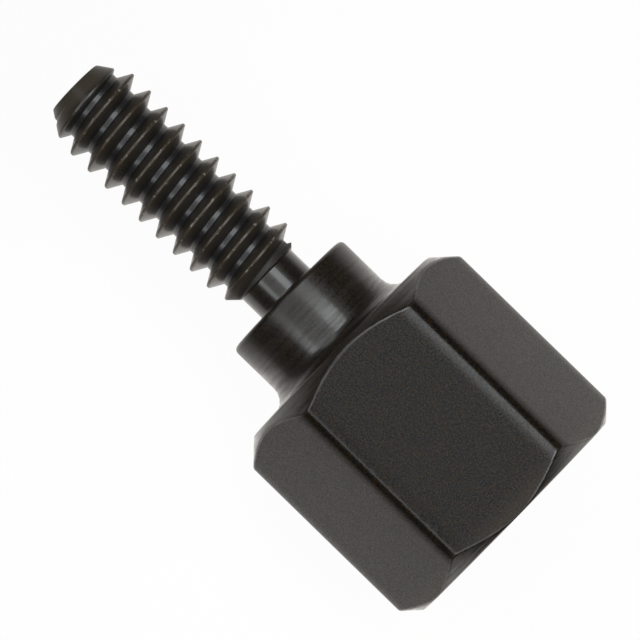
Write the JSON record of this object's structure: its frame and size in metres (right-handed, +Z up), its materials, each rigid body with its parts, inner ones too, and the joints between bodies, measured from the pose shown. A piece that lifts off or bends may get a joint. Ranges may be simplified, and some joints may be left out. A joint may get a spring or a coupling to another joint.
{
  "type": "threaded standoff",
  "caption": "Black hex standoff with a tapped head, a round locating collar and a relieved threaded stud, for fixing one part at a set distance from a panel.",
  "frame": {"origin": "on the axis, in the plane of the hexagon's stud-side face", "axes": "+X along the axis towards the stud's tip, +Z up with the part lying on one flat of its hexagon"},
  "size_m": [0.0164, 0.008, 0.007],
  "materials": {
    "black_steel": "satin black oxide over turned steel"
  },
  "bodies": {
    "root": {"standoff": "black_steel"}
  },
  "joints": []
}
